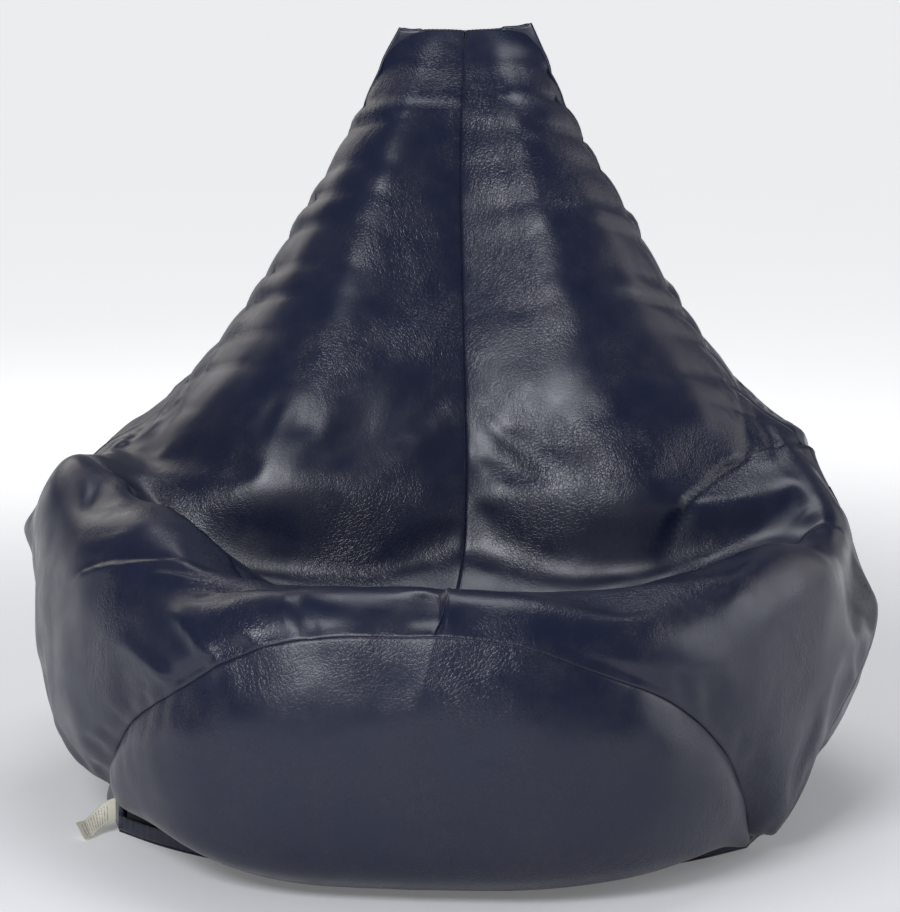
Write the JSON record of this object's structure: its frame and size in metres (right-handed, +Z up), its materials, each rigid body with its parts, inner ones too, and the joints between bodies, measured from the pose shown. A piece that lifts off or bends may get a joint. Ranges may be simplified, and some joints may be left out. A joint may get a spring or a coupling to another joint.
{
  "type": "bean bag chair",
  "caption": "High-backed teardrop bean bag chair with hollowed seat, rolled arms, curved front panel and a hidden zip under its front edge.",
  "frame": {"origin": "on the floor, under the middle of the base, on the line of the middle seams", "axes": "+Z up, -Y towards the front where the sitter's legs go, +X to the right as seen from the front"},
  "size_m": [0.8593, 0.8277, 0.7695],
  "materials": {
    "cover": "satin antique leather look, fine crinkled grain",
    "base_cloth": "matt leather look",
    "zip_tape": "woven polyester tape",
    "zip_coil": "nylon coil",
    "zip_metal": "black lacquered die casting, worn bright at the edges",
    "label": "soft satin label tape with plain grey marks",
    "thread": "bonded polyester sewing thread",
    "liner": "plain white liner cloth",
    "liner_zip": "white nylon",
    "beads": "expanded polystyrene beads"
  },
  "bodies": {
    "bag": {"front_panel": "cover", "seat_panel_left": "cover", "seat_panel_right": "cover", "rear_panel_left": "cover", "rear_panel_right": "cover", "base_panel": "base_cloth", "zip_facing": "cover", "zip_tape_upper": "zip_tape", "zip_tape_lower": "zip_tape", "zip_coil_upper": "zip_coil", "zip_coil_lower": "zip_coil", "zip_end_stops": "zip_metal", "care_label": "label", "thread_seat_centre": "thread", "thread_front_arc": "thread", "thread_sides": "thread", "thread_top": "thread", "thread_rear_centre": "thread", "thread_base": "thread", "liner_seat": "liner", "liner_rear": "liner", "liner_front": "liner", "liner_base": "liner", "liner_zip_tapes": "liner", "liner_zip_coils": "liner_zip", "bead_fill": "beads"},
    "zip_slider": {"zip_slider": "zip_metal"},
    "liner_slider": {"liner_slider": "liner_zip"}
  },
  "joints": [
    {"name": "zip_run", "type": "hinge", "parent": "bag", "child": "zip_slider", "pos_m": [0, 0.12, 0.028], "axis": [0, 0, 1], "range_deg": [0, 85]},
    {"name": "liner_zip_run", "type": "slide", "parent": "bag", "child": "liner_slider", "axis": [1, 0, 0], "range_m": [0, 0.408]}
  ]
}
